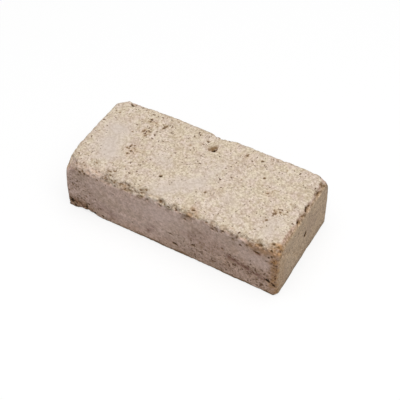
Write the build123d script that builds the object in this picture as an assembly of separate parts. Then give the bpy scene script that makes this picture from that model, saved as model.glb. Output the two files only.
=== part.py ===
from build123d import *
import os
from math import sqrt

# A solid building brick of pale fired clay, lying on its bed.
# X runs along its length, Y across it from front to back, and Z up.
# The origin is the middle of the lower bed. All lengths are in millimetres.

# Format of the brick
length = 203.0
width = 92.0
height = 57.0

# Rounding worn along the arrises of the upper and the lower bed
upper_arris_radius = 5.0
lower_arris_radius = 1.2

# What each upright corner has lost beyond that rounding, at its foot and at its head
front_left_foot_wear = 0.2
front_left_head_wear = 12.0
front_right_foot_wear = 1.0
front_right_head_wear = 1.2
back_right_foot_wear = 0.2
back_right_head_wear = 5.0
back_left_foot_wear = 0.8
back_left_head_wear = 5.0

# An upright corner is nearly sharp low down and is knocked round near its head: its rounding grows with
# this power of the height, and is drawn at these shares of the way from below one bed to above the other
wear_power = 5
wear_level_shares = (0.0, 0.35, 0.6, 0.8, 1.0)

# Scuffs that have worn the front arris of the upper bed rounder towards its two ends
scuff_length = 100.0
scuff_depth = 2.1

# Bites broken out of the arrises: their length along the arris, and their depth at its crest
knock_length = 120.0
knock_depth = 2.2
flake_length = 23.0
flake_depth = 2.3
chip_length = 11.0
chip_depth = 1.4
nick_length = 7.0
nick_depth = 1.4
corner_break_length = 18.0
corner_break_depth = 2.6

# Middles of the scuffs and bites, as shares of the length or width, from the middle of the arris
front_upper_scuff_shares = (-0.22, 0.58)
back_upper_knock_shares = (-0.567,)
back_upper_nick_shares = (-0.43,)
back_upper_flake_shares = (0.004,)
front_lower_flake_shares = (-0.41,)
front_upper_chip_shares = (-0.39, -0.2, 0.25, 0.335, 0.41)
front_upper_nick_shares = (-0.3, -0.12, -0.03, 0.03, 0.105, 0.205)
right_upper_chip_shares = (0.27, 0.39)
right_upper_nick_shares = (-0.12, -0.04, 0.06)

# Blowhole that burst through the upper bed in the kiln
blowhole_mouth = 7.5
blowhole_depth = 3.5
blowhole_offset = 1.5
blowhole_inset = 18.0

# Small pits of the upper bed, where grains fell out: their middles as shares of the length and the width
pit_mouth = 2.6
pit_depth = 1.2
pit_shares = (
    (-0.45, 0.28), (-0.34, 0.12), (-0.23, 0.33), (-0.3, 0.19), (-0.28, 0.15), (-0.31, -0.08),
    (-0.29, -0.14), (-0.1, -0.24), (-0.03, 0.35), (0.15, 0.38), (0.22, 0.38), (0.27, 0.2),
    (0.33, 0.03), (0.39, -0.13), (0.41, -0.09), (0.38, -0.23), (0.38, -0.33), (0.1, -0.21),
)

# Gouge in the right end, with its middle as shares of the width and the height
gouge_mouth = 4.0
gouge_depth = 1.0
gouge_share = 0.045
gouge_rise_share = 0.485

# How far the corner cutters run past the faces
overrun = 2.0

# Share of the length from the middle of an arris to its end
end_share = 0.5

# Share of a rounding's radius between a sharp corner's edge and the crest, along each face
crest_share = 1 - 1 / sqrt(2)


# The upright corners: their side in X and in Y, and their wear
uprights = (
    (-1, -1, front_left_foot_wear, front_left_head_wear),
    (1, -1, front_right_foot_wear, front_right_head_wear),
    (1, 1, back_right_foot_wear, back_right_head_wear),
    (-1, 1, back_left_foot_wear, back_left_head_wear),
)


def corner_waste(level, x_side, y_side, radius):
    """What lies outside a rounded upright corner, as a flat face at one level."""
    edge_x = x_side * length / 2
    edge_y = y_side * width / 2
    tangent_x = edge_x - x_side * radius
    tangent_y = edge_y - y_side * radius
    outer_x = edge_x + x_side * overrun
    outer_y = edge_y + y_side * overrun
    crest = (edge_x - x_side * radius * crest_share, edge_y - y_side * radius * crest_share)
    with BuildSketch(Plane.XY.offset(level)) as waste:
        with BuildLine():
            Polyline((tangent_x, edge_y), (tangent_x, outer_y), (outer_x, outer_y),
                     (outer_x, tangent_y), (edge_x, tangent_y))
            ThreePointArc((edge_x, tangent_y), crest, (tangent_x, edge_y))
        make_face()
    return waste.sketch


def upright_cutter(x_side, y_side, foot_wear, head_wear):
    """Waste of one upright corner, whose rounding grows from its foot to its head."""
    foot_radius = lower_arris_radius + foot_wear
    head_radius = upper_arris_radius + head_wear
    sections = []
    for level_share in wear_level_shares:
        level = level_share * (height + 2 * overrun) - overrun
        growth_share = max(level / height, 0) ** wear_power
        radius = foot_radius + (head_radius - foot_radius) * growth_share
        sections.append(corner_waste(level, x_side, y_side, radius))
    return loft(sections)


def worn_block():
    """The block with its upright corners worn and the arrises of both beds rounded."""
    block = extrude(Rectangle(length, width), height)
    block -= [upright_cutter(*upright) for upright in uprights]
    block = fillet(block.faces().sort_by(Axis.Z)[-1].edges(), upper_arris_radius)
    return fillet(block.faces().sort_by(Axis.Z)[0].edges(), lower_arris_radius)


def bite(crest, outward, chord, depth):
    """Ball that takes a shell-shaped piece, so long and so deep, at a point of the surface."""
    radius = (chord**2 / 4 + depth**2) / (2 * depth)
    centre = Vector(*crest) + Vector(*outward).normalized() * (radius - depth)
    return Pos(centre) * Sphere(radius)


def depth_lost(share, worn):
    """Depth that longer bites, as rows of middles, length and depth, have taken at a place on an arris."""
    lost = 0
    for middle_shares, worn_length, worn_depth in worn:
        for middle_share in middle_shares:
            reach_share = 2 * (share - middle_share) * length / worn_length
            lost = max(lost, worn_depth * (1 - reach_share**2))
    return lost


def long_arris_bites(shares, y_side, z_side, radius, chord, depth, worn=()):
    """Bites along an arris between a bed and the front or back face, from the crest that is left."""
    bites = []
    for share in shares:
        inset = radius * crest_share + depth_lost(share, worn) / sqrt(2)
        crest = (share * length, y_side * (width / 2 - inset), height / 2 + z_side * (height / 2 - inset))
        bites.append(bite(crest, (0, y_side, z_side), chord, depth))
    return bites


def right_arris_bites(shares, chord, depth):
    """Bites along the arris between the upper bed and the right end."""
    crest_x = length / 2 - upper_arris_radius * crest_share
    crest_z = height - upper_arris_radius * crest_share
    return [bite((crest_x, share * width, crest_z), (1, 0, 1), chord, depth) for share in shares]


def corner_break(x_side, y_side, head_wear, lost):
    """Bite at a corner of the upper bed, where the arris rounding meets the worn upright."""
    inset = (upper_arris_radius + head_wear + upper_arris_radius / sqrt(2)) * crest_share
    crest_x = x_side * (length / 2 - inset)
    crest_y = y_side * (width / 2 - inset - lost / sqrt(2))
    crest_z = height - upper_arris_radius * crest_share - lost / sqrt(2)
    return bite((crest_x, crest_y, crest_z), (x_side, y_side, 1), corner_break_length, corner_break_depth)


def blowhole():
    """Pit in the upper bed."""
    mouth = (blowhole_offset, width / 2 - blowhole_inset, height)
    return bite(mouth, (0, 0, 1), blowhole_mouth, blowhole_depth)


def bed_pits():
    """Small round pits strewn over the upper bed."""
    mouths = [(x_share * length, y_share * width, height) for x_share, y_share in pit_shares]
    return [bite(mouth, (0, 0, 1), pit_mouth, pit_depth) for mouth in mouths]


def gouge():
    """Round mark struck into the right end."""
    mouth = (length / 2, gouge_share * width, gouge_rise_share * height)
    return bite(mouth, (1, 0, 0), gouge_mouth, gouge_depth)


def all_bites():
    """Everything that is broken out of the worn block."""
    front_upper = (-1, 1, upper_arris_radius)
    front_lower = (-1, -1, lower_arris_radius)
    back_upper = (1, 1, upper_arris_radius)
    scuffs = [(front_upper_scuff_shares, scuff_length, scuff_depth)]
    knocks = [(back_upper_knock_shares, knock_length, knock_depth)]
    end_lost = depth_lost(-end_share, knocks)
    return [
        *long_arris_bites(back_upper_knock_shares, *back_upper, knock_length, knock_depth),
        *long_arris_bites(back_upper_nick_shares, *back_upper, nick_length, nick_depth, knocks),
        *long_arris_bites(back_upper_flake_shares, *back_upper, flake_length, flake_depth),
        *long_arris_bites(front_lower_flake_shares, *front_lower, flake_length, flake_depth),
        *long_arris_bites(front_upper_scuff_shares, *front_upper, scuff_length, scuff_depth),
        *long_arris_bites(front_upper_chip_shares, *front_upper, chip_length, chip_depth, scuffs),
        *long_arris_bites(front_upper_nick_shares, *front_upper, nick_length, nick_depth, scuffs),
        *right_arris_bites(right_upper_chip_shares, chip_length, chip_depth),
        *right_arris_bites(right_upper_nick_shares, nick_length, nick_depth),
        corner_break(-1, -1, front_left_head_wear, 0),
        corner_break(1, -1, front_right_head_wear, 0),
        corner_break(1, 1, back_right_head_wear, 0),
        corner_break(-1, 1, back_left_head_wear, end_lost),
        blowhole(),
        *bed_pits(),
        gouge(),
    ]


brick = worn_block() - all_bites()
brick.label = "brick"

os.makedirs("parts", exist_ok=True)
export_step(brick, "parts/brick.step")
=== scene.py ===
import math

import bpy
import numpy as np
from mathutils import Matrix, Vector


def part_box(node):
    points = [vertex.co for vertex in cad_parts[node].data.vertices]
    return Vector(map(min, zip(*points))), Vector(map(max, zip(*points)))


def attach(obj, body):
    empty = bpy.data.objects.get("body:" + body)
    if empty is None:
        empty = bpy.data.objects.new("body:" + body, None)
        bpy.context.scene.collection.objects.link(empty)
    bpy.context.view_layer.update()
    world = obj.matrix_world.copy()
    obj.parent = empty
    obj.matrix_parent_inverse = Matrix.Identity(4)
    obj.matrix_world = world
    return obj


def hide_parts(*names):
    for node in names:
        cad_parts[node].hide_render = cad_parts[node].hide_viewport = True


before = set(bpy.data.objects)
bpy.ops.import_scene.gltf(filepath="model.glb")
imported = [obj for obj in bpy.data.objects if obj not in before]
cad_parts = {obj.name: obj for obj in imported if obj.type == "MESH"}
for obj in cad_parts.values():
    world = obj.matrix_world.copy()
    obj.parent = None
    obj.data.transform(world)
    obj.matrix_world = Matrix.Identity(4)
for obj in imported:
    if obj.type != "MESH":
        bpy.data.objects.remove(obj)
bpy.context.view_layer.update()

# The brick: one block of pale sandy clay, pressed in a mould, dried and fired.
# Its beds are open and gritty, its sides keep the smoother skin of the mould, and handling has
# rounded its upper corners and bitten crumbs out of its arrises. All lengths are in metres.
low, high = (np.array(corner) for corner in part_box("brick"))
length, width, height = high - low
grid_pitch = 0.00086
core_inset = 0.020


def box_grid(cells):
    """Grids of squares on the six sides of a box, as whole-number places.

    On each side one of the three numbers stays at its end and the other two count across the side.
    Places that two or three sides share are merged, so the grids close into one skin."""
    sides = []
    for axis in range(3):
        across, up = (axis + 1) % 3, (axis + 2) % 3
        u, v = np.meshgrid(np.arange(cells[across] + 1), np.arange(cells[up] + 1), indexing="ij")
        for end in (0, cells[axis]):
            place = np.empty(u.shape + (3,), dtype=np.int64)
            place[..., axis], place[..., across], place[..., up] = end, u, v
            ring = [place[:-1, :-1], place[1:, :-1], place[1:, 1:], place[:-1, 1:]]
            if end == 0:
                ring.reverse()
            sides.append(np.stack(ring, axis=2).reshape(-1, 4, 3))
    corners = np.concatenate(sides).reshape(-1, 3)
    places, quads = np.unique(corners, axis=0, return_inverse=True)
    return places, quads.reshape(-1, 4)


def inward_from(points):
    """Directions from points on the sharp block to the nearest point of a core a set way inside it."""
    way = np.clip(points, low + core_inset, high - core_inset) - points
    return way / np.linalg.norm(way, axis=1, keepdims=True)


cells = np.round((high - low) / grid_pitch).astype(np.int64)
places, quads = box_grid(cells)
sharp = low + places / cells * (high - low)
inward = inward_from(sharp)
sharp_x, sharp_y, sharp_z = sharp.T

# Wear of the block: corner radii of the plan at the foot and the head of each upright, in the order
# front left, back left, front right, back right, and the rounding of each arris of the two beds.
# An upper arris has radii at places along it, and the front one is uneven by chance besides.
upright_feet = np.array([0.0004, 0.0020, 0.0032, 0.0004])
upright_heads = np.array([0.0190, 0.0100, 0.0062, 0.0082])
upright_powers = np.array([6.7, 5.0, 5.0, 4.4])
chance = np.random.default_rng(seed=5)
front_places = np.linspace(low[0], high[0], num=40)
front_wear = ((-0.070, -0.035, -0.008, 0.050, 0.080), (0.0092, 0.0078, 0.0046, 0.0038, 0.0066))
front_uneven_shares = ((-0.070, -0.045), (0.25, 1))
front_uneven_range = (-0.0020, 0.0024)
front_uneven = chance.uniform(*front_uneven_range, len(front_places))
front_uneven = front_uneven * np.interp(front_places, *front_uneven_shares)
front_arris = (front_places, np.interp(front_places, *front_wear) + front_uneven)
back_places = (-0.060, -0.035, -0.025, 0.008, 0.018, 0.050, 0.068, 0.088, 0.098)
back_arris = (back_places, (0.0044, 0.0046, 0.0056, 0.0056, 0.0044, 0.0042, 0.0034, 0.0038, 0.0068))
right_arris = ((-0.030, 0.020, 0.042), (0.0056, 0.0050, 0.0062))
left_arris = ((-0.036, -0.022, 0.040), (0.0072, 0.0032, 0.0034))
lower_arris_radii = {"left": 0.0016, "right": 0.0013, "front": 0.0018, "back": 0.0016}
arris_reach = 0.006


def arris_radius(x, y, z):
    """Rounding at a place: the four sides' radii, weighed by how near each side is.

    A side's weight is e to the minus its distance over the reach."""
    gaps = np.stack([x - low[0], high[0] - x, y - low[1], high[1] - y])
    weights = np.exp(-np.clip(gaps, 0, None) / arris_reach)
    upper = [np.interp(y, *left_arris), np.interp(y, *right_arris)]
    upper += [np.interp(x, *front_arris), np.interp(x, *back_arris)]
    lower = [lower_arris_radii[side] for side in ("left", "right", "front", "back")]
    radii = [np.where(z > height / 2, top, foot) for top, foot in zip(upper, lower)]
    return (weights * np.stack(radii)).sum(axis=0) / weights.sum(axis=0)


def worn_block(points):
    """Distance of points outside the worn block.

    The plan is a rectangle whose corner radii grow with a power of the height. It is carried up
    between the two beds, and the arrises are rounded by taking the plan distance and the distance
    past a bed as the two sides of a right angle."""
    x, y, z = points.T
    rise = np.clip(z / height, 0, 1)
    upright = 2 * (x > 0) + (y > 0)
    corner = upright_feet[upright] + (upright_heads - upright_feet)[upright] * rise ** upright_powers[upright]
    plan_x = np.abs(x) - length / 2 + corner
    plan_y = np.abs(y) - width / 2 + corner
    plan = np.hypot(plan_x.clip(0), plan_y.clip(0)) + np.maximum(plan_x, plan_y).clip(None, 0) - corner
    arris = arris_radius(x, y, z)
    out = plan + arris
    up = np.abs(z - height / 2) - height / 2 + arris
    return np.hypot(out.clip(0), up.clip(0)) + np.maximum(out, up).clip(None, 0) - arris


def settle(starts, ways, rounds=24):
    """Slides points along their ways, each time by the distance left, until they lie on the worn block."""
    travel = np.zeros(len(starts))
    for _ in range(rounds):
        travel += worn_block(starts + ways * travel[:, None])
    return starts + ways * travel[:, None]


surface = settle(sharp, inward)


def grid_normals(points):
    """Normals of the skin's points: the sums of the normals of the squares round each one."""
    ring = points[quads]
    square = np.cross(ring[:, 2] - ring[:, 0], ring[:, 3] - ring[:, 1])
    total = np.zeros_like(points)
    for corner in range(4):
        np.add.at(total, quads[:, corner], square)
    return total / np.linalg.norm(total, axis=1, keepdims=True)


normals = grid_normals(surface)
normal_x, normal_y, normal_z = normals.T


def ease(values, start, end):
    """Smooth step from 0 at start to 1 at end: three squares less two cubes of the share between."""
    share = np.clip((values - start) / (end - start), 0, 1)
    return share * share * (3 - 2 * share)


place_primes = np.array([374761393, 668265263, 2246822519], dtype=np.uint64)
seed_prime = np.uint64(3266489917)
fold_prime = np.uint64(2654435761)
low_bits = np.uint64(0xFFFFFFFF)


def scatter(places, seed):
    """A number from 0 to 1 for each whole-number place, by multiplying and folding its bits."""
    parts = places.astype(np.int64).astype(np.uint64)
    mixed = (parts * place_primes).sum(axis=1) + np.uint64(seed) * seed_prime
    for fold in (15, 13, 16):
        mixed = (mixed ^ (mixed >> np.uint64(fold))) * fold_prime & low_bits
    return (mixed ^ (mixed >> np.uint64(16))) / float(low_bits)


def mottle(points, pitch, seed):
    """Smooth noise from -1 to 1: random numbers at the corners of a lattice, eased into one another."""
    scaled = points / pitch
    cell = np.floor(scaled)
    share = ease(scaled - cell, 0, 1)
    total = np.zeros(len(points))
    for corner in np.ndindex(2, 2, 2):
        weight = np.where(corner, share, 1 - share).prod(axis=1)
        total += weight * scatter(cell + corner, seed)
    return 2 * total - 1


def layered(points, layers):
    """Noise in layers, each with its share or height, its pitch and its seed, added up."""
    return sum(share * mottle(points, pitch, seed) for share, pitch, seed in layers)


def pores(points, pitch, radius, kept_share, seed):
    """Depth, from 0 to 1, in round pores: one to a cell of a lattice, of uneven size, and only some kept."""
    cell = np.floor(points / pitch)
    depth = np.zeros(len(points))
    for step in np.ndindex(3, 3, 3):
        near = cell + step - 1
        centre = (near + np.stack([scatter(near, seed + axis) for axis in range(3)], axis=1)) * pitch
        reach = radius * (0.5 + 0.5 * scatter(near, seed + 3))
        kept = scatter(near, seed + 4) < kept_share
        gap = np.linalg.norm(points - centre, axis=1)
        depth = np.maximum(depth, kept * reach / radius * (1 - gap / reach).clip(0))
    return depth


# Bites out of the arrises: the length and depth of each kind of bite, and the places along each arris.
# A bite is a ball that the clay broke away along, with a ragged rim. The knock took the back left end.
chip = (0.0110, 0.0014)
nick = (0.0070, 0.0014)
flake = (0.0230, 0.0022)
knock = (0.1200, 0.0022)
scrape = (0.0130, 0.0007)
notch = (0.0048, 0.0011)
front_chips = (-0.0406, 0.0508, 0.0680, 0.0832)
front_nicks = (-0.0609, -0.0244, -0.0061, 0.0061, 0.0213, 0.0416)
front_scrapes = (-0.0792,)
front_foot_flakes = (-0.0835,)
right_chips = (0.0262, 0.0365)
right_nicks = (-0.0095, -0.0025, 0.0062)
back_knocks = (-0.1150,)
back_flakes = (0.0010,)
back_notch_place = np.array([-0.0860, high[1] - 0.0056, high[2] - 0.0020])
back_notch_way = np.array([0, -0.30, -0.95])
front_top = (high[0], low[1], high[2])
back_top = (high[0], high[1], high[2])
front_foot = (high[0], low[1], low[2])
corner_breaks = {
    (low[0], low[1], high[2]): (0.0300, 0.0024), (low[0], high[1], high[2]): (0.0280, 0.0042),
    front_top: (0.0120, 0.0016), back_top: (0.0150, 0.0032), front_foot: (0.0100, 0.0011),
}
along_x = 0
along_y = 1
bite_raggedness = 0.8
corner_raggedness = 0.35
rim_layers = ((0.65, 0.0034, 11), (0.35, 0.0016, 12))
ragged = layered(surface, rim_layers)
broken = np.zeros(len(surface))
# Painted shade, from none to one, that the hollows get by their depth and the foot gets along the floor
painted_shade = np.zeros(len(surface))
notch_dark_depth = 0.0024
right_dark_depth = 0.0045


def hollow_out(middle, halves, ragged_share):
    """Takes an ellipsoid, by its middle and half sizes, out of the clay, and gives how far points slid.

    A point of the skin inside it slides on along its way to the far wall, which is the larger root of
    the quadratic for its way and the ellipsoid, both scaled to a ball. The ball's radius is one, more
    or less a ragged share."""
    offset = (surface - middle) / halves
    way = inward / halves
    rim = 1 + ragged_share * ragged
    a = (way**2).sum(axis=1)
    b = (offset * way).sum(axis=1)
    c = (offset**2).sum(axis=1) - rim**2
    slide = np.where(c < 0, (np.sqrt((b * b - a * c).clip(0)) - b) / a, 0)
    surface[:] = surface + inward * slide[:, None]
    return slide


def bite_out(crest, way, chord, depth, raggedness=bite_raggedness):
    """Takes a ball-shaped bite, so long and so deep, along a way into the clay from a surface point."""
    radius = (chord**2 / 4 + depth**2) / (2 * depth)
    return hollow_out(crest - way * (radius - depth), radius, raggedness * depth / radius)


def arris_bites(places, axis, corner, size):
    """Bites along an arris through a corner of the sharp block, from the middle of its rounding."""
    slides = np.zeros(len(surface))
    way = np.sign(low + high - 2 * np.array(corner))
    way[axis] = 0
    way = way / np.linalg.norm(way)
    for place in places:
        start = np.array(corner)
        start[axis] = place
        crest = start + way * arris_radius(*start) * (math.sqrt(2) - 1)
        slides = np.maximum(slides, bite_out(crest, way, *size))
    return slides


def corner_bite(corner, size):
    """A bite at a corner of the sharp block, from the worn surface under it."""
    start = np.array([corner])
    return bite_out(settle(start, inward_from(start)), inward_from(start), *size, corner_raggedness)


arris_bites(back_knocks, along_x, back_top, knock)
arris_bites(back_flakes, along_x, back_top, flake)
broken = np.maximum(broken, arris_bites(front_foot_flakes, along_x, front_foot, flake))
arris_bites(front_scrapes, along_x, front_top, scrape)
broken = np.maximum(broken, arris_bites(front_chips, along_x, front_top, chip))
broken = np.maximum(broken, arris_bites(front_nicks, along_x, front_top, nick))
corner_slides = {corner: corner_bite(corner, size) for corner, size in corner_breaks.items()}
broken = np.maximum(broken, corner_slides[front_top])
right_bites = arris_bites(right_chips, along_y, front_top, chip)
right_bites = np.maximum(right_bites, arris_bites(right_nicks, along_y, front_top, nick))
notch_slides = bite_out(back_notch_place, back_notch_way, *notch)
# The notch and the bites of the right arris are painted darker with their depth: painted shade
painted_shade = np.maximum(painted_shade, np.maximum(notch_slides / notch_dark_depth, right_bites / right_dark_depth))

# Crumbling: between the bites the arrises have lost grains, in patches. Each arris has its own loss, from
# none to one, that fades with the distance from it. The front arris lost most, down to a lip that drops
# by places along it. A range of two lengths says where a share begins and where it is whole.
crumble_reach = 0.0042
crumble_depth = 0.0016
crumble_patch = 0.011
grain_layers = ((0.6, 0.0034, 42), (0.4, 0.0017, 43))
losses = {
    ("front", "top"): 1.0, ("right", "top"): 0.35, ("back", "top"): 0.5, ("left", "top"): 0.4,
    ("front", "foot"): 0.2, ("right", "foot"): 0.15, ("back", "foot"): 0.3, ("left", "foot"): 0.2,
    ("front", "right"): 0.9, ("front", "left"): 0.05, ("back", "right"): 0.1, ("back", "left"): 0.3,
}
lip_places = (-0.095, -0.070, -0.050, -0.030, -0.010, 0.010, 0.025, 0.045, 0.065, 0.090)
lip_drops = (0.0050, 0.0056, 0.0068, 0.0064, 0.0052, 0.0050, 0.0030, 0.0024, 0.0030, 0.0040)
lip_reach = 0.0046
lip_start_range = (0.003, 0.014)
near_front_range = (0.014, 0.008)
side_gaps = {
    "left": sharp_x - low[0], "right": high[0] - sharp_x, "front": sharp_y - low[1],
    "back": high[1] - sharp_y, "foot": sharp_z - low[2], "top": high[2] - sharp_z,
}
over_front = side_gaps["top"] - side_gaps["front"]


def bell(gap, reach):
    """One at no gap, and less to each side: e to the minus square of the gap over the reach."""
    return np.exp(-((gap / reach) ** 2))


loss = np.zeros(len(sharp))
for (first, second), share in losses.items():
    gap = np.hypot(side_gaps[first], side_gaps[second])
    loss = np.maximum(loss, share * bell(gap, crumble_reach))
lip = np.interp(sharp_x, lip_places, lip_drops)
lip_band = bell(over_front - 0.5 * lip, lip_reach) * ease(side_gaps["left"], *lip_start_range)
loss = np.maximum(loss, lip_band)
near_front = ease(np.hypot(side_gaps["front"], side_gaps["top"]), *near_front_range)
patchy = ease(mottle(sharp, crumble_patch, 41), -0.6, 0.4) * (1 - 0.4 * near_front)
grains = layered(sharp, grain_layers)
crumbled = crumble_depth * loss * (0.4 + 0.6 * patchy) * ease(grains, -0.15, 0.40)
surface += inward * crumbled[:, None]

# Blowhole and pits of the upper bed, by x and y, where gas or a burnt-out root left a hollow. The blowhole's
# rows add a radius, a depth and a dark depth, at which it shows darkest. Clusters of small pits, with two
# spreads and a count, lie where a lump of unmixed clay fell out in grains. Slits in the front have x and z,
# half sizes and a strength, which divides the dark depth. The gouge was struck into the right end.
# Each hollow below is painted darker with its depth: painted shade
blowhole_hollows = (
    (-0.0011, 0.0251, 0.0022, 0.0012, 0.0040), (0.0008, 0.0272, 0.0026, 0.0016, 0.0028),
    (0.0026, 0.0292, 0.0024, 0.0016, 0.0028), (0.0030, 0.0252, 0.0019, 0.0056, 0.0017),
)
bed_pits = (
    (-0.0914, 0.0258), (-0.0690, 0.0110), (-0.0467, 0.0304), (-0.0609, 0.0175), (-0.0568, 0.0138),
    (-0.0629, -0.0074), (-0.0589, -0.0129), (-0.0061, 0.0322), (0.0305, 0.0350), (0.0447, 0.0350),
    (0.0548, 0.0184), (0.0670, 0.0028), (0.0792, -0.0120), (0.0832, -0.0083), (0.0771, -0.0212),
    (0.0771, -0.0304), (0.0203, -0.0193),
)
pit_radius = 0.0012
pit_depth = 0.0010
pit_dark_depth = 0.0016
pit_raggedness = 0.6
root_pit = (-0.0203, -0.0221)
root_pit_radius = 0.0014
root_pit_dark_depth = 0.0013
bed_clusters = (
    (-0.0590, 0.0160, 0.0026, 0.0032, 9), (-0.0570, 0.0295, 0.0040, 0.0024, 7),
    (-0.0465, 0.0292, 0.0022, 0.0012, 8), (-0.0610, -0.0070, 0.0016, 0.0020, 5),
    (-0.0575, -0.0140, 0.0016, 0.0020, 4), (0.0815, -0.0090, 0.0032, 0.0034, 12),
    (0.0655, 0.0035, 0.0022, 0.0016, 5), (0.0300, 0.0330, 0.0030, 0.0020, 3),
    (-0.0570, -0.0090, 0.0050, 0.0036, 10), (0.0660, 0.0045, 0.0022, 0.0018, 5),
)
cluster_radii = (0.0005, 0.0010)
cluster_depth_share = 0.7
cluster_dark_depth = 0.0008
front_slits = (
    (0.0235, 0.0190, 0.0032, 0.0014, 1.0), (0.0065, 0.0102, 0.0028, 0.0015, 1.0),
    (0.0020, 0.0208, 0.0024, 0.0009, 0.7), (0.0505, 0.0308, 0.0016, 0.0012, 0.7),
    (0.0818, 0.0452, 0.0022, 0.0012, 0.75), (0.0670, 0.0455, 0.0012, 0.0012, 0.8),
    (0.0930, 0.0158, 0.0022, 0.0016, 1.3), (0.0986, 0.0130, 0.0015, 0.0015, 1.7),
    (0.0884, 0.0080, 0.0014, 0.0012, 1.2), (0.0831, 0.0116, 0.0012, 0.0010, 0.8),
    (0.0613, 0.0088, 0.0012, 0.0009, 0.7), (0.0904, 0.0396, 0.0011, 0.0010, 0.9),
    (0.0925, 0.0450, 0.0011, 0.0011, 0.9), (0.0950, 0.0475, 0.0008, 0.0013, 0.9),
    (0.1008, 0.0380, 0.0009, 0.0012, 0.8), (0.1008, 0.0330, 0.0009, 0.0010, 0.6),
    (0.1008, 0.0290, 0.0009, 0.0010, 0.7), (0.0999, 0.0258, 0.0009, 0.0012, 0.7),
    (0.0973, 0.0375, 0.0013, 0.0013, 0.5), (0.0976, 0.0342, 0.0012, 0.0013, 0.5),
    (0.0988, 0.0514, 0.0009, 0.0009, 0.6), (-0.0947, 0.0296, 0.0010, 0.0012, 0.8),
    (-0.0958, 0.0244, 0.0008, 0.0012, 0.7), (-0.0917, 0.0278, 0.0009, 0.0010, 0.6),
    (-0.0984, 0.0092, 0.0013, 0.0020, 0.9), (-0.0917, 0.0136, 0.0011, 0.0013, 0.8),
    (-0.0937, 0.0069, 0.0013, 0.0010, 0.9), (-0.0910, 0.0090, 0.0011, 0.0010, 0.9),
    (-0.0884, 0.0070, 0.0013, 0.0010, 0.7), (-0.0825, 0.0089, 0.0010, 0.0011, 0.8),
    (-0.0839, 0.0062, 0.0011, 0.0010, 0.8), (-0.0779, 0.0272, 0.0010, 0.0011, 0.6),
    (-0.0822, 0.0206, 0.0010, 0.0010, 0.5), (-0.0847, 0.0147, 0.0009, 0.0010, 0.5),
    (-0.0681, 0.0127, 0.0012, 0.0011, 0.8), (-0.0825, 0.0334, 0.0008, 0.0010, 0.5),
    (-0.0725, 0.0216, 0.0008, 0.0009, 0.4),
)
slit_depth = 0.0011
gouge_place = (high[0], 0.0042, 0.0276)
gouge_halves = (0.0012, 0.0021, 0.0032)
gouge_dark_depth = 0.0009
crumb_raggedness = 0.9


def sink(middle, halves, dark_depth, raggedness=pit_raggedness):
    """Takes a pit out of the clay, and paints shade into it by its depth, darkest at the dark depth."""
    painted_shade[:] = np.maximum(painted_shade, hollow_out(middle, halves, raggedness) / dark_depth)


for x, y, radius, depth, dark_depth in blowhole_hollows:
    sink((x, y, high[2]), (radius, radius, depth), dark_depth)
for x, y in bed_pits:
    sink((x, y, high[2]), (pit_radius, pit_radius, pit_depth), pit_dark_depth)
sink((*root_pit, high[2]), (root_pit_radius, root_pit_radius, root_pit_radius), root_pit_dark_depth)
for x, y, spread_x, spread_y, count in bed_clusters:
    for _ in range(count):
        radius = chance.uniform(*cluster_radii)
        place = (chance.normal(x, spread_x), chance.normal(y, spread_y), high[2])
        sink(place, (radius, radius, cluster_depth_share * radius), cluster_dark_depth)
for x, z, half_x, half_z, strength in front_slits:
    sink((x, low[1], z), (half_x, slit_depth, half_z), slit_depth / strength)
sink(gouge_place, gouge_halves, gouge_dark_depth, crumb_raggedness)
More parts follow.
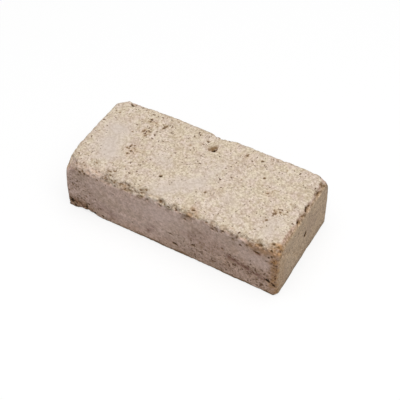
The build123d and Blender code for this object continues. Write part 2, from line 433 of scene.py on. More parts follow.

# Marks, where single crumbs fell out of the front and the right arris and left small dark hollows: each by
# its place along the arris, its drop over it, which is less than none on the bed, its half length, its half
# width and its strength. More crumbs are gone at the front's lower left corner, gathered towards the end.
# Each mark is painted darker with its depth: painted shade
front_marks = (
    (-0.0935, -0.0015, 0.0008, 0.0009, 0.5), (-0.0831, -0.0028, 0.0008, 0.0007, 0.5),
    (-0.0800, -0.0065, 0.0016, 0.0005, 0.3), (-0.0905, 0.0066, 0.0008, 0.0009, 0.7),
    (-0.0856, 0.0074, 0.0010, 0.0013, 0.9), (-0.0838, 0.0052, 0.0006, 0.0010, 0.8),
    (-0.0812, 0.0078, 0.0008, 0.0009, 0.8), (-0.0880, 0.0125, 0.0010, 0.0008, 0.7),
    (-0.0775, 0.0086, 0.0007, 0.0010, 0.5), (-0.0750, -0.0100, 0.0009, 0.0008, 0.5),
    (-0.0735, 0.0094, 0.0007, 0.0008, 0.4), (-0.0690, 0.0088, 0.0009, 0.0007, 0.4),
    (-0.0600, -0.0080, 0.0016, 0.0007, 0.7), (-0.0578, -0.0045, 0.0012, 0.0008, 0.7),
    (-0.0560, -0.0100, 0.0010, 0.0008, 0.6), (-0.0617, 0.0013, 0.0008, 0.0012, 0.6),
    (-0.0568, 0.0015, 0.0012, 0.0008, 0.6), (-0.0522, 0.0028, 0.0011, 0.0010, 0.7),
    (-0.0467, 0.0008, 0.0018, 0.0007, 0.5), (-0.0441, -0.0002, 0.0018, 0.0007, 0.5),
    (-0.0423, -0.0027, 0.0009, 0.0008, 0.6), (-0.0392, -0.0019, 0.0013, 0.0009, 0.9),
    (-0.0405, 0.0056, 0.0016, 0.0007, 0.45), (-0.0462, 0.0034, 0.0006, 0.0009, 0.3),
    (-0.0352, -0.0016, 0.0008, 0.0010, 0.5), (-0.0370, 0.0032, 0.0016, 0.0008, 0.6),
    (-0.0350, -0.0080, 0.0010, 0.0007, 0.4), (-0.0440, -0.0090, 0.0008, 0.0008, 0.5),
    (-0.0228, -0.0049, 0.0011, 0.0008, 0.55), (-0.0267, -0.0028, 0.0013, 0.0008, 0.7),
    (-0.0258, 0.0011, 0.0009, 0.0008, 0.5), (-0.0259, 0.0048, 0.0015, 0.0010, 0.5),
    (-0.0191, 0.0061, 0.0013, 0.0012, 0.35), (-0.0077, 0.0010, 0.0008, 0.0011, 0.35),
    (-0.0034, 0.0019, 0.0008, 0.0011, 0.4), (-0.0075, 0.0060, 0.0011, 0.0012, 0.4),
    (0.0008, 0.0031, 0.0011, 0.0009, 0.45), (0.0049, -0.0018, 0.0010, 0.0008, 0.6),
    (0.0081, 0.0025, 0.0008, 0.0012, 0.4), (0.0115, 0.0006, 0.0008, 0.0009, 0.6),
    (0.0158, 0.0010, 0.0009, 0.0009, 0.6), (0.0197, 0.0045, 0.0017, 0.0010, 1.0),
    (0.0189, -0.0027, 0.0009, 0.0008, 0.6), (0.0219, -0.0052, 0.0010, 0.0008, 0.7),
    (0.0165, 0.0096, 0.0012, 0.0009, 0.5), (0.0362, 0.0020, 0.0013, 0.0009, 0.45),
    (0.0409, 0.0071, 0.0019, 0.0011, 0.5), (0.0414, 0.0030, 0.0008, 0.0013, 0.8),
    (0.0437, 0.0042, 0.0009, 0.0012, 0.7), (0.0459, 0.0066, 0.0011, 0.0012, 0.6),
    (0.0509, 0.0046, 0.0008, 0.0013, 0.55), (0.0594, 0.0021, 0.0008, 0.0011, 0.6),
    (0.0604, 0.0076, 0.0011, 0.0013, 0.7), (0.0720, 0.0089, 0.0008, 0.0012, 0.5),
    (0.0695, 0.0071, 0.0011, 0.0007, 0.4), (0.0833, 0.0019, 0.0022, 0.0012, 0.75),
    (0.0800, 0.0008, 0.0016, 0.0008, 0.4), (0.0939, -0.0056, 0.0010, 0.0011, 0.7),
    (0.1000, -0.0039, 0.0013, 0.0012, 0.9), (0.0942, 0.0024, 0.0008, 0.0013, 0.8),
    (0.0895, 0.0042, 0.0008, 0.0008, 0.4),
)
right_marks = (
    (-0.0090, 0.0002, 0.0011, 0.0009, 0.9), (-0.0025, 0.0001, 0.0014, 0.0011, 0.65),
    (-0.0019, -0.0031, 0.0010, 0.0010, 0.6), (0.0057, 0.0003, 0.0018, 0.0010, 1.1),
    (0.0070, -0.0020, 0.0012, 0.0009, 1.0), (0.0097, -0.0005, 0.0015, 0.0009, 0.8),
    (0.0124, -0.0027, 0.0009, 0.0008, 0.4), (0.0271, -0.0023, 0.0010, 0.0010, 0.9),
    (0.0273, 0.0012, 0.0016, 0.0009, 0.6), (0.0394, 0.0022, 0.0023, 0.0009, 0.6),
    (0.0435, 0.0036, 0.0013, 0.0008, 0.7), (0.0359, 0.0040, 0.0011, 0.0014, 0.45),
    (0.0017, -0.0100, 0.0010, 0.0008, 0.55),
)
front_mark_stretch = 1.3
front_mark_share = 0.85
corner_crumb_count = 22
corner_crumb_radii = (0.0008, 0.0013)
corner_crumb_reach = 0.038
corner_crumb_power = 1.8
corner_crumb_heights = (0.0030, 0.0120)
corner_crumb_strengths = (0.9, 1.5)


def mark(place, halves, strength):
    """Takes a small hollow out of the skin, at the point that began nearest to a place on the sharp block."""
    nearest = ((sharp - place) ** 2).sum(axis=1).argmin()
    sink(surface[nearest].copy(), halves, halves[2] / strength, crumb_raggedness)


for x, drop, half_length, half_width, strength in front_marks:
    place = (x, low[1] + max(-drop, 0), high[2] - max(drop, 0))
    mark(place, (front_mark_stretch * half_length, half_width, half_width), front_mark_share * strength)
for y, drop, half_length, half_width, strength in right_marks:
    place = (high[0] - max(-drop, 0), y, high[2] - max(drop, 0))
    mark(place, (half_width, half_length, half_width), strength)
for _ in range(corner_crumb_count):
    radius = chance.uniform(*corner_crumb_radii)
    x = low[0] + corner_crumb_reach * chance.uniform() ** corner_crumb_power
    place = (x, low[1], chance.uniform(*corner_crumb_heights))
    mark(place, (radius, radius, radius), chance.uniform(*corner_crumb_strengths))

# Ridges and grooves that run down from the crumbled front arris, leaning a little
ridge_lean = 0.45
ridge_stretch_share = 0.35
ridge_layers = ((1.0, 0.0025, 58), (0.4, 0.0014, 59))
ridge_drop = 0.0040
ridge_reach = 0.0048
ridge_height = 0.0005
ridge_start_range = (-0.078, -0.055)
by_front = np.minimum(side_gaps["top"], side_gaps["front"]) < grid_pitch / 2
leaning = np.stack([sharp_x + ridge_lean * over_front, sharp_y, ridge_stretch_share * over_front], axis=1)
ridges = layered(leaning, ridge_layers)
ridge_band = by_front * bell(over_front - ridge_drop, ridge_reach) * ease(sharp_x, *ridge_start_range)
surface += inward * (ridge_height * ridge_band * (0.5 - ridges))[:, None]

# Relief of the fired skin: the slight waves of the mould everywhere, and lumps, sand and pores, most on the
# beds. The open skin of the upper bed runs over the front arris, down to a ragged line round the lip, which
# is worn to a blur towards the left.
lip_layers = ((0.0026, 0.0055, 13), (0.0014, 0.0024, 14))
bed_edge_layers = ((0.15, 0.003, 15),)
roll_layers = ((0.004, 0.006, 16),)
lip_edge = 0.0007
lip_blurs = ((-0.075, -0.050), (0.0045, 0.0007))
wave_layers = ((0.00028, 0.034, 21), (0.00016, 0.011, 22))
lump_layers = ((0.00012, 0.0052, 23),)
sand_layers = ((0.00018, 0.0021, 24),)
pore_pitch = 0.0032
pore_radius = 0.0012
pore_kept_share = 0.5
pore_depth = 0.0009
right_side_range = (0.046, 0.036)
roll_range = (-0.052, -0.072)
roll_drop_range = (-0.0100, -0.0010)
bared_depth_range = (0.0001, 0.0006)
on_upper = sharp_z > height / 2
on_right = on_upper * ease(normal_x, 0.10, 0.40) * ease(sharp_y, *right_side_range)
bed = ease(np.abs(normal_z) - 0.45 * on_right + layered(sharp, bed_edge_layers), 0.25, 0.65)
ragged_lip = lip + layered(sharp, lip_layers)
lip_blur = np.interp(sharp_x, *lip_blurs)
lip_share = ease(ragged_lip - side_gaps["top"], lip_edge - lip_blur, lip_edge + lip_blur)
bed = np.maximum(bed, (side_gaps["front"] < grid_pitch / 2) * lip_share)
worn_roll = ease(over_front + layered(sharp, roll_layers), *roll_drop_range)
worn_roll = worn_roll * ease(sharp_x, *roll_range) * on_upper
bed = bed * (1 - 0.5 * worn_roll)
end = ease(np.abs(normal_x), 0.55, 0.9)
fresh = ease(np.maximum(broken, crumbled), *bared_depth_range)
open_skin = np.maximum(bed, fresh)
pore = pores(sharp, pore_pitch, pore_radius, pore_kept_share, 31) * (0.12 + 0.88 * open_skin)
relief = layered(sharp, wave_layers) - pore_depth * pore
relief += layered(sharp, lump_layers) * (0.4 + 0.6 * open_skin)
relief += layered(sharp, sand_layers) * (0.25 + 0.75 * open_skin)
surface -= inward * relief[:, None]
surface[:, 2] = surface[:, 2].clip(low[2])

# Colour of the skin, as shares from none to one at each point. Strokes on a face run from one place to
# another, with a half width and a strength. Smears are strokes of darker clay on the front, in x and z.
front_smears = (
    ((0.0798, 0.0455), (0.0842, 0.0448), 0.0018, 1.50), ((0.0560, 0.0255), (0.0900, 0.0165), 0.0032, 1.50),
    ((0.0200, 0.0300), (0.0560, 0.0260), 0.0060, 0.50), ((0.0000, 0.0110), (0.0600, 0.0090), 0.0050, 0.30),
    ((-0.0200, 0.0130), (-0.0150, 0.0190), 0.0030, 0.90), ((0.0280, 0.0370), (0.0480, 0.0330), 0.0060, 0.45),
    ((-0.1000, 0.0100), (-0.0820, 0.0080), 0.0050, 1.20),
    ((-0.0740, 0.0180), (-0.0560, 0.0120), 0.0070, 0.50),
    ((-0.0980, 0.0300), (-0.0860, 0.0180), 0.0060, 0.20),
)
left_shade_share = 0.25
corner_smear = 0.32
streak_stretch = (0.4, 1, 1)
streak_layers = ((0.5, 0.0030, 51),)
fleck_layers = ((0.35, 0.0022, 52),)
roll_fleck_layers = ((0.5, 0.004, 60),)
left_head_range = (0.055, 0.047)
rolled_range = (-0.086, -0.094)
rolled_head_range = (0.043, 0.049)
rolled_front_range = (0.0030, 0.0005)
bed_view = sharp[:, :2]
front_view = sharp[:, [0, 2]]
end_view = sharp[:, 1:]
on_top = bed * on_upper
on_front = ease(-normal_y, 0.5, 0.9)
on_right_end = normal_x > 0.3


def strongest(*layers):
    """The largest of several shares at each point."""
    return np.maximum.reduce(layers)


def stroke(points, first, last, half_width):
    """Strength of a brush stroke: a bell of the distance from a straight line between two places."""
    line = np.subtract(last, first)
    share = ((points - first) @ line / (line @ line)).clip(0, 1)
    gap = np.linalg.norm(points - first - share[:, None] * line, axis=1)
    return bell(gap, half_width)


def strokes(points, rows):
    """The strongest of several strokes, by rows of first and last place, half width and strength."""
    return strongest(*(strength * stroke(points, *row) for *row, strength in rows))


streaks = 0.5 + layered(sharp * streak_stretch, streak_layers) + layered(sharp, fleck_layers)
smeared = on_front * (strokes(front_view, front_smears) * streaks).clip(0, 1)
# Painted shade on the left-facing side below the head, laid into the smear share
left_facing_shade = (1 - bed) * ease(-normal_x, 0.15, 0.70) * ease(sharp_z, *left_head_range)
rolled_corner = ease(sharp_x, *rolled_range) * ease(sharp_z, *rolled_head_range)
rolled_corner = rolled_corner * ease(side_gaps["front"], *rolled_front_range)
uneven_corner = rolled_corner * (1 + layered(sharp, roll_fleck_layers))
smear_and_shade = strongest(smeared, left_shade_share * left_facing_shade, corner_smear * uneven_corner)

# Painted contact shade with dust along the foot of the sides, in the pores up to an uneven height
foot_line_height = 0.0044
foot_line_layers = ((0.0018, 0.012, 57),)
foot_line_grain = 0.0010
foot_line_range = (-0.0004, 0.0034)
foot_share = 0.30 + 0.28 * on_front
below_foot_line = foot_line_height + layered(sharp, foot_line_layers) - surface[:, 2]
foot_shade_and_dust = ease(below_foot_line - foot_line_grain * grains, *foot_line_range)
painted_shade = np.maximum(painted_shade, foot_share * (1 - bed) * foot_shade_and_dust)

# Bloom: smooth pale patches that salts left, as strokes in x and y on the upper bed, in x and z on the front
bed_blooms = (
    ((-0.0820, 0.0060), (-0.0740, -0.0180), 0.0120, 1.0),
    ((-0.0160, -0.0360), (0.0120, -0.0120), 0.0085, 0.8),
    ((0.0120, -0.0120), (0.0180, 0.0100), 0.0070, 0.5), ((0.0860, -0.0180), (0.0840, -0.0320), 0.0070, 0.7),
    ((-0.0300, -0.0040), (-0.0220, -0.0080), 0.0070, 0.5),
    ((0.0400, -0.0160), (0.0440, -0.0200), 0.0070, 0.4),
)
front_blooms = (
    ((-0.0260, 0.0380), (0.0080, 0.0400), 0.0100, 0.40), ((0.0700, 0.0340), (0.0900, 0.0320), 0.0060, 0.35),
)
bloom_layers = ((0.4, 0.009, 61),)
bloom_and_highlight = strongest(on_top * strokes(bed_view, bed_blooms), on_front * strokes(front_view, front_blooms))
bloom_and_highlight = (bloom_and_highlight * (1 + layered(sharp, bloom_layers))).clip(0, 1)

# Torn: where the arrises and the two worn corners of the front lost their skin. Grit and speckle: how rough
# the skin is, and how strewn with dark grains. Both are most on the beds and on three parts of the front.
side_grit = 0.82
more_grit = 0.18
bed_speckle = 0.56
side_speckle = 0.24
part_speckles = (0.68, 0.73, 0.79)
torn_speckle = 0.7
cluster_speckle = 0.70
smoothed_share = 0.6
speckle_layers = ((0.09, 0.014, 62),)
speckle_fade = 0.09
speckle_fade_range = (-0.020, 0.020)
band_grain = 0.003
band_range = (0.0095, 0.0045)
band_height_range = (0.004, 0.016)
right_whole_range = (0.006, 0.002)
lower_corner_stroke = ((-0.1015, 0.0070), (-0.0840, 0.0060), 0.0060)
left_part_ranges = ((-0.060, -0.085), (0.054, 0.030))
right_part_ranges = ((-0.010, 0.030), (0.044, 0.022))
foot_part_range = (0.010, 0.002)
corner_band = on_front * ease(side_gaps["right"] + band_grain * grains, *band_range)
corner_band = corner_band * (0.4 + 0.6 * ease(sharp_z, *band_height_range))
lower_corner = on_front * stroke(front_view, *lower_corner_stroke)
torn = ease(loss, 0.03, 0.6) * (0.2 + 0.8 * patchy)
torn = torn * (1 - 0.7 * ease(side_gaps["right"], *right_whole_range) * (normal_z > 0.5))
torn = strongest(torn.clip(0, 1), 0.85 * corner_band, lower_corner)
left_part = on_front * ease(sharp_x, *left_part_ranges[0]) * ease(sharp_z, *left_part_ranges[1])
right_part = on_front * ease(sharp_x, *right_part_ranges[0]) * ease(sharp_z, *right_part_ranges[1])
foot_part = on_front * ease(sharp_z, *foot_part_range)
front_parts = (left_part, right_part, foot_part)
clusters = np.zeros(len(sharp))
for x, y, spread_x, spread_y, _ in bed_clusters:
    gap = np.hypot((sharp_x - x) / spread_x, (sharp_y - y) / spread_y)
    clusters = np.maximum(clusters, on_top * bell(gap, math.sqrt(2)))
grit = (side_grit + more_grit * strongest(bed, end, *front_parts)) * (1 - smoothed_share * bloom_and_highlight)
patches = layered(sharp, speckle_layers) - speckle_fade * ease(sharp_x, *speckle_fade_range)
speckle = bed * (bed_speckle + patches) + (1 - bed) * side_speckle * (1 + end)
speckle = strongest(speckle, *(share * part for share, part in zip(part_speckles, front_parts)))
speckle = strongest(speckle * (1 - smoothed_share * bloom_and_highlight), torn_speckle * torn, cluster_speckle * clusters)

# Ochre: raw yellow clay laid bare by the bites, in the blowhole and the clusters, down the worn right corner,
# along the right arris, in strokes on the bed and the front, and along the lip by place, reach and strength
bed_ochres = (((0.0215, -0.0400), (0.0255, -0.0450), 0.0035, 0.5),)
front_ochres = (((0.078, 0.0515), (0.1015, 0.050), 0.0055, 0.85),)
lip_ochres = ((-0.043, 0.009, 0.4), (0.0205, 0.0034, 0.9))
ochre_layers = ((0.5, 0.0028, 53),)
bared_range = (-0.098, -0.085)
end_front_range = (-0.026, -0.042)
end_band_grain = 0.002
end_band_range = (0.0060, 0.0015)
blowhole_stroke = ((-0.0004, 0.0256), (0.0026, 0.0292), 0.0026)
corner_stretch = (1, 1.3, 1)
corner_grain = 0.004
corner_range = (0.0140, 0.0070)
front_rim_range = (0.000, -0.020)
bared = strongest(0.24 * fresh * (0.4 + 0.6 * patchy), 0.20 * ease(right_bites, *bared_depth_range))
bared = bared * ease(sharp_x, *bared_range)
end_front = end * (normal_x > 0) * ease(sharp_y, *end_front_range)
end_band = (1 - bed) * on_right_end * ease(side_gaps["front"] + end_band_grain * grains, *end_band_range)
in_blowhole = on_top * stroke(bed_view, *blowhole_stroke)
corner_gap = np.linalg.norm((sharp - front_top) * corner_stretch, axis=1)
corner_top = ease(corner_gap + corner_grain * grains, *corner_range)
# The worn front right corner is painted a little darker too, with the grain
painted_shade = np.maximum(painted_shade, 0.12 * corner_top * (1 + 0.8 * grains))
right_rim = (1 - bed) * on_right * ease(normal_z, 0.10, 0.50)
front_rim = right_rim * ease(sharp_y, *front_rim_range)
on_lip = lip_band * strongest(*(strength * bell(sharp_x - x, reach) for x, reach, strength in lip_ochres))
in_strokes = strongest(on_top * strokes(bed_view, bed_ochres), on_front * strokes(front_view, front_ochres))
ochre = strongest(
    bared, on_lip, in_strokes, corner_top, 0.90 * corner_band, 0.60 * end_band, 0.35 * in_blowhole,
    0.35 * lower_corner, 0.30 * end_front, 0.30 * front_rim, 0.25 * clusters)
ochre = (ochre * (0.75 + layered(sharp, ochre_layers))).clip(0, 1)

# Stain and painted shade: brown dust held round the marks, along the right arris, on the worn corners and in
# the blowhole, a darker band under the front arris near its right end, and painted shade on the ends towards
# the foot and on the left-facing side. The ridges under the front arris get painted shade in their grooves
# and a painted highlight on their crests.
rim_stains = ((-0.030, 0.000, 0.012), (0.50, 0.60, 0.70))
mark_stain = 0.7
front_halo = 3.0
right_halo = 2.5
groove_shade = 0.75
crest_highlight = 0.95
rim_stain_layers = ((0.4, 0.006, 55),)
stain_layers = ((0.5, 0.0026, 56),)
under_lip_range = (0.070, 0.079)
under_lip_head = (0.002, -0.0010, 0.0015)
under_lip_foot = (0.003, 0.0125, 0.0085)
back_edge_stroke = ((0.0452, 0.0500), (0.0440, 0.0400), 0.0018)
back_corner_stroke = ((0.0370, 0.0570), (0.0450, 0.0490), 0.0032)
end_foot_shade_range = (-0.0085, 0.0000)
by_right = np.minimum(side_gaps["top"], side_gaps["right"]) < grid_pitch / 2
over_right = side_gaps["top"] - side_gaps["right"]


def halos(marks, along, over_arris, spread):
    """The strongest of the halos round marks: bells of the distance, so many times as wide as each mark."""
    halo = np.zeros(len(sharp))
    for place, drop, half_length, half_width, strength in marks:
        gap = np.hypot((along - place) / half_length, (over_arris - drop) / half_width)
        halo = np.maximum(halo, strength * bell(gap, spread))
    return halo


rim_stain = np.interp(sharp_y, *rim_stains) * right_rim * (1 + layered(sharp, rim_stain_layers))
front_stain = mark_stain * by_front * halos(front_marks, sharp_x, over_front, front_halo)
right_stain = mark_stain * by_right * halos(right_marks, sharp_y, over_right, right_halo)
under_lip = by_front * ease(sharp_x, *under_lip_range)
for grain_height, begins, whole in (under_lip_head, under_lip_foot):
    under_lip = under_lip * ease(over_front + grain_height * grains, begins, whole)
back_edge = (1 - bed) * on_right_end * stroke(end_view, *back_edge_stroke)
back_corner = on_right_end * stroke(end_view, *back_corner_stroke)
# Painted shade: the ends darker towards the foot
end_foot_shade = end * ease(below_foot_line, *end_foot_shade_range)
stain_and_shade = strongest(
    rim_stain, front_stain, right_stain, 0.90 * back_corner, 0.80 * back_edge, 0.65 * in_blowhole,
    0.38 * end_foot_shade, 0.36 * under_lip, 0.35 * lower_corner, 0.24 * corner_band, 0.24 * corner_top,
    0.20 * left_facing_shade, 0.12 * rolled_corner)
stain_and_shade = (stain_and_shade * (0.85 + layered(sharp, stain_layers))).clip(0, 1)
# Painted shade in the grooves between the ridges and a painted highlight on their crests
stain_and_shade = np.maximum(stain_and_shade, groove_shade * ridge_band * ease(-ridges, 0.05, 0.50))
bloom_and_highlight = np.maximum(bloom_and_highlight, crest_highlight * ridge_band * ease(ridges, 0.10, 0.50))

# Tan: warmer clay that shows through the skin of the front on its right half, and a warmer, darker tone
# towards its foot
right_tan_ranges = ((0.000, 0.060), (0.050, 0.025))
foot_tan_range = (0.018, 0.003)
tan_layers = ((0.7, 0.007, 54),)
right_tan = 0.38 * ease(sharp_x, *right_tan_ranges[0]) * ease(sharp_z, *right_tan_ranges[1])
foot_tan = 0.42 * ease(sharp_z, *foot_tan_range)
tan = np.maximum(right_tan, foot_tan)
tan = on_front * (tan * (1 + layered(sharp, tan_layers))).clip(0, 1)


def lay_skin(name, points, squares, shares):
    """Mesh of points and squares, smooth, with a named number at each point for every share."""
    mesh = bpy.data.meshes.new(name)
    mesh.vertices.add(len(points))
    mesh.vertices.foreach_set("co", points.ravel())
    mesh.loops.add(squares.size)
    mesh.loops.foreach_set("vertex_index", squares.ravel().astype(np.int32))
    mesh.polygons.add(len(squares))
    mesh.polygons.foreach_set("loop_start", np.arange(0, squares.size, 4, dtype=np.int32))
    mesh.polygons.foreach_set("use_smooth", np.ones(len(squares), dtype=bool))
    for share_name, values in shares.items():
        layer = mesh.attributes.new(share_name, "FLOAT", "POINT")
        layer.data.foreach_set("value", values.astype(np.float32))
    mesh.update(calc_edges=True)
    mesh.validate()
    piece = bpy.data.objects.new(name, mesh)
    bpy.context.scene.collection.objects.link(piece)
    return piece


clay_brick = lay_skin("clay_brick", surface, quads, {
    "bed": bed, "end": end, "painted_shade": painted_shade, "smear_and_shade": smear_and_shade, "bloom_and_highlight": bloom_and_highlight, "grit": grit,
    "speckle": speckle, "ochre": ochre, "tan": tan, "stain_and_shade": stain_and_shade})


def place_node(tree, kind, sockets=None, **settings):
    """Adds a node, sets its settings, and gives each named input a value or another node's output."""
    made = tree.nodes.new(kind)
    for name, value in settings.items():
        setattr(made, name, value)
    for name, value in (sockets or {}).items():
        if isinstance(value, bpy.types.NodeSocket):
            tree.links.new(value, made.inputs[name])
        else:
            made.inputs[name].default_value = value
    return made


def screen(red, green, blue):
    """Linear colour with full alpha of a colour given as it shows on a screen, from 0 to 255."""
    shown = np.array([red, green, blue]) / 255
    linear = np.where(shown <= 0.04045, shown / 12.92, ((shown + 0.055) / 1.055) ** 2.4)
    return (*linear, 1.0)


# Colours of the fired clay, its dust and its grains, of painted shade and highlight, tints that multiply what
# they lie on, and the widths of the patches and grains that these come in
side_clay = screen(230, 203, 190)
end_clay = screen(232, 207, 178)
tan_clay = screen(200, 162, 132)
side_patch = screen(208, 183, 163)
side_bloom_and_highlight = screen(236, 212, 202)
smear_and_shade_clay = screen(140, 100, 88)
bed_clay = screen(221, 206, 188)
bed_patch = screen(217, 200, 182)
bed_bloom = screen(214, 200, 188)
ochre_clay = screen(196, 146, 90)
stain_and_shade_brown = screen(126, 102, 76)
fine_grain = screen(158, 126, 96)
fine_ochre_grain = screen(150, 108, 62)
side_grain = screen(116, 88, 68)
bed_grain = screen(104, 78, 56)
ochre_grain = screen(92, 58, 28)
side_grain_rim = screen(190, 168, 156)
bed_grain_rim = screen(236, 222, 204)
shade_brown = screen(128, 98, 62)
deep_shade_dark = screen(52, 36, 22)
yellow_tint = (1.0, 1.013, 0.962, 1)
rosy_tint = (1.0, 0.990, 1.026, 1)
dark_tint = (0.69, 0.64, 0.58, 1)
pale_tint = (1.11, 1.12, 1.14, 1)
side_patch_width = 0.020
side_mottle_width = 0.0055
bed_patch_width = 0.016
bed_warmth_width = 0.0075
grain_width = 0.0019
fine_speck_width = 0.0018
coarse_speck_width = 0.0024
bump_width = 0.0012
clay_roughness = 0.92
clay_gloss = 0.2
bump_strength = 0.4
bump_depth = 0.0006
fired_clay = bpy.data.materials.new("fired_clay")
fired_clay.use_nodes = True
tree = fired_clay.node_tree
tree.nodes.clear()
coords = place_node(tree, "ShaderNodeTexCoord").outputs["Object"]


def over(factor, below, above, blend="MIX"):
    """Colour of one layer laid over another by a factor."""
    sockets = {0: factor, 6: below, 7: above}
    return place_node(tree, "ShaderNodeMix", sockets, data_type="RGBA", blend_type=blend).outputs[2]


def shade(name):
    """The number that the skin holds under a name."""
    return place_node(tree, "ShaderNodeAttribute", attribute_name=name).outputs["Fac"]


def between(value, start, end, least=0.0, most=1.0):
    """Smooth step of a value, from least at start to most at end."""
    sockets = {"Value": value, "From Min": start, "From Max": end, "To Min": least, "To Max": most}
    return place_node(tree, "ShaderNodeMapRange", sockets, interpolation_type="SMOOTHSTEP").outputs[0]


def cloud(pitch, detail=2.0, roughness=0.5, offset=0.0):
    """Noise from about 0.2 to 0.8, with patches about as wide as the pitch, set apart by an offset."""
    shift = {0: coords, 1: (offset, offset, offset)}
    where = place_node(tree, "ShaderNodeVectorMath", shift, operation="ADD")
    sockets = {"Vector": where.outputs[0], "Scale": 1 / pitch, "Detail": detail, "Roughness": roughness}
    return place_node(tree, "ShaderNodeTexNoise", sockets).outputs[0]


def product(first, second):
    """Two masks multiplied."""
    return place_node(tree, "ShaderNodeMath", {0: first, 1: second}, operation="MULTIPLY").outputs[0]


def strewn(pitch, offset, sparse, thick):
    """How far noise lies under a limit that rises with the speckle: above zero in strewn grains."""
    limit = between(shade("speckle"), 0.0, 1.0, sparse, thick)
    noise = cloud(pitch, 1.5, 0.6, offset)
    return place_node(tree, "ShaderNodeMath", {0: limit, 1: noise}, operation="SUBTRACT").outputs[0]


# Skin of the sides and of the beds, one laid over the other by the share of open bed
on_bed = shade("bed")
sides = over(shade("end"), side_clay, end_clay)
sides = over(shade("tan"), sides, tan_clay)
sides = over(between(cloud(side_patch_width), 0.42, 0.68, 0.0, 0.5), sides, side_patch)
mottled = between(cloud(side_mottle_width, roughness=0.6, offset=0.6), 0.30, 0.70, 0.91, 1.06)
sides = over(1.0, sides, mottled, "MULTIPLY")
# Pale bloom, with a painted highlight on the ridge crests under the front arris
sides = over(shade("bloom_and_highlight"), sides, side_bloom_and_highlight)
# Smears of darker clay, with painted shade on the left-facing side
sides = over(shade("smear_and_shade"), sides, smear_and_shade_clay)
beds = over(between(cloud(bed_patch_width, offset=0.2), 0.40, 0.65), bed_clay, bed_patch)
warmth = between(cloud(bed_warmth_width, roughness=0.6, offset=0.9), 0.36, 0.64)
beds = over(1.0, beds, over(warmth, yellow_tint, rosy_tint), "MULTIPLY")
beds = over(shade("bloom_and_highlight"), beds, bed_bloom)
colour = over(on_bed, sides, beds)

# Ochre, stain with painted shade, and grit over both, then strewn grains with pale rims, and last the painted
# shade of the hollows and the foot
colour = over(shade("ochre"), colour, ochre_clay)
grain = cloud(grain_width, roughness=0.65, offset=0.1)
stain_and_shade_share = product(shade("stain_and_shade"), between(grain, 0.30, 0.70, 1.25, 0.55))
colour = over(stain_and_shade_share, colour, stain_and_shade_brown)
tint = over(between(grain, 0.30, 0.70), dark_tint, pale_tint)
colour = over(shade("grit"), colour, over(1.0, colour, tint, "MULTIPLY"))
fine = strewn(fine_speck_width, 0.5, 0.30, 0.47)
coarse = strewn(coarse_speck_width, 0.7, 0.28, 0.44)
grain_rim = over(on_bed, side_grain_rim, bed_grain_rim)
pale_grain = over(shade("ochre"), fine_grain, fine_ochre_grain)
dark_grain = over(shade("ochre"), over(on_bed, side_grain, bed_grain), ochre_grain)
colour = over(between(coarse, -0.09, -0.02, 0.0, 0.16), colour, grain_rim)
colour = over(between(fine, 0.0, 0.08, 0.0, 0.6), colour, pale_grain)
colour = over(between(coarse, 0.0, 0.07, 0.0, 0.95), colour, dark_grain)
# Painted shade of the hollows and the foot: a brown wall, then a dark floor
darkness = product(shade("painted_shade"), between(grain, 0.3, 0.7, 0.75, 1.25))
colour = over(between(darkness, 0.10, 0.45, 0.0, 0.8), colour, shade_brown)
colour = over(between(darkness, 0.45, 0.95, 0.0, 0.95), colour, deep_shade_dark)
bump = place_node(tree, "ShaderNodeBump", {
    "Height": cloud(bump_width, 3.0, 0.65, 0.4), "Strength": bump_strength, "Distance": bump_depth})
skin = place_node(tree, "ShaderNodeBsdfPrincipled", {
    "Base Color": colour, "Roughness": clay_roughness, "Specular IOR Level": clay_gloss,
    "Normal": bump.outputs[0]})
place_node(tree, "ShaderNodeOutputMaterial", {"Surface": skin.outputs[0]})
clay_brick.data.materials.append(fired_clay)
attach(clay_brick, "root")
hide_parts("brick")

# The floor: a wide sheet of plain pale card that the brick lies on.
# It looks white, and keeps a faint soft shadow round the brick's foot.
floor_half = 3.0
floor_level = -0.0002
floor_glow = 0.76
floor_paper = 0.25
floor_bounce = 0.3
floor_mesh = bpy.data.meshes.new("floor")
floor_mesh.from_pydata(
    [(-floor_half, -floor_half, floor_level), (floor_half, -floor_half, floor_level),
     (floor_half, floor_half, floor_level), (-floor_half, floor_half, floor_level)], [], [(0, 1, 2, 3)])
floor = bpy.data.objects.new("floor", floor_mesh)
bpy.context.scene.collection.objects.link(floor)


def seen_directly(tree):
    """One for rays that the camera sees straight, in a mirror or through glass, and none for the rest."""
    path = place_node(tree, "ShaderNodeLightPath")
    seen = path.outputs["Is Camera Ray"]
    for kind in ("Is Glossy Ray", "Is Transmission Ray"):
        rays = {0: seen, 1: path.outputs[kind]}
        seen = place_node(tree, "ShaderNodeMath", rays, operation="MAXIMUM").outputs[0]
    return seen


def grey(level):
    """A grey with full alpha, by its level from black at 0 to white at 1."""
    return (level, level, level, 1)


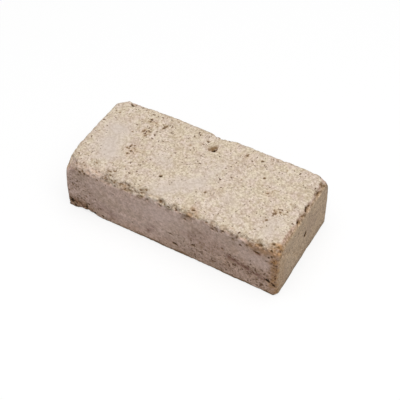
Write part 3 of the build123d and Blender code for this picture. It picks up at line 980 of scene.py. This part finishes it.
card = bpy.data.materials.new("pale_card")
card.use_nodes = True
card_tree = card.node_tree
card_tree.nodes.clear()
bounce = place_node(card_tree, "ShaderNodeBsdfDiffuse", {"Color": grey(floor_bounce)})
paper = place_node(card_tree, "ShaderNodeBsdfDiffuse", {"Color": grey(floor_paper)})
glow = place_node(card_tree, "ShaderNodeEmission", {"Strength": floor_glow})
shown = place_node(card_tree, "ShaderNodeAddShader", {0: paper.outputs[0], 1: glow.outputs[0]})
choice = place_node(card_tree, "ShaderNodeMixShader", {
    0: seen_directly(card_tree), 1: bounce.outputs[0], 2: shown.outputs[0]})
place_node(card_tree, "ShaderNodeOutputMaterial", {"Surface": choice.outputs[0]})
floor_mesh.materials.append(card)

# The light: a plain white room and one wide soft lamp overhead, as in a studio.
# The room is white where the camera sees it straight, and lights the brick more weakly than that.
room_strength = 0.40
room_shown_strength = 1.0
lamp_power = 19.4
lamp_size = 1.6
lamp_place = (0.25, -0.22, 1.5)
world = bpy.data.worlds.new("white_room")
bpy.context.scene.world = world
world.use_nodes = True
room = world.node_tree
room.nodes.clear()
dim = place_node(room, "ShaderNodeBackground", {"Color": grey(1), "Strength": room_strength})
white = place_node(room, "ShaderNodeBackground", {"Color": grey(1), "Strength": room_shown_strength})
both = place_node(room, "ShaderNodeMixShader", {
    0: seen_directly(room), 1: dim.outputs[0], 2: white.outputs[0]})
place_node(room, "ShaderNodeOutputWorld", {"Surface": both.outputs[0]})
lamp_data = bpy.data.lights.new("overhead_lamp", "AREA")
lamp_data.energy = lamp_power
lamp_data.size = lamp_size
lamp = bpy.data.objects.new("overhead_lamp", lamp_data)
lamp.location = lamp_place
lamp.rotation_euler = (-Vector(lamp_place)).to_track_quat("-Z", "Y").to_euler()
bpy.context.scene.collection.objects.link(lamp)

# The camera: level with neither face, it looks down on the front right corner of the upper bed.
# Its place is given as a turn about the brick, a height angle and a distance from the point it aims at.
camera_turn = math.radians(30.26)
camera_rise = math.radians(48.27)
camera_roll = math.radians(-0.44)
camera_distance = 0.8529
camera_lens = 90.23
camera_sensor = 36.0
camera_aim = Vector((0.00585, -0.00307, 0.0235))
camera_data = bpy.data.cameras.new("camera")
camera_data.lens = camera_lens
camera_data.sensor_width = camera_sensor
camera = bpy.data.objects.new("camera", camera_data)
turn = Matrix.Rotation(camera_turn, 3, "Z") @ Matrix.Rotation(math.pi / 2 - camera_rise, 3, "X")
camera.location = camera_aim + turn @ Vector((0, 0, camera_distance))
camera.rotation_euler = (turn @ Matrix.Rotation(camera_roll, 3, "Z")).to_euler()
bpy.context.scene.collection.objects.link(camera)
bpy.context.scene.camera = camera
bpy.context.scene.view_settings.view_transform = "Standard"
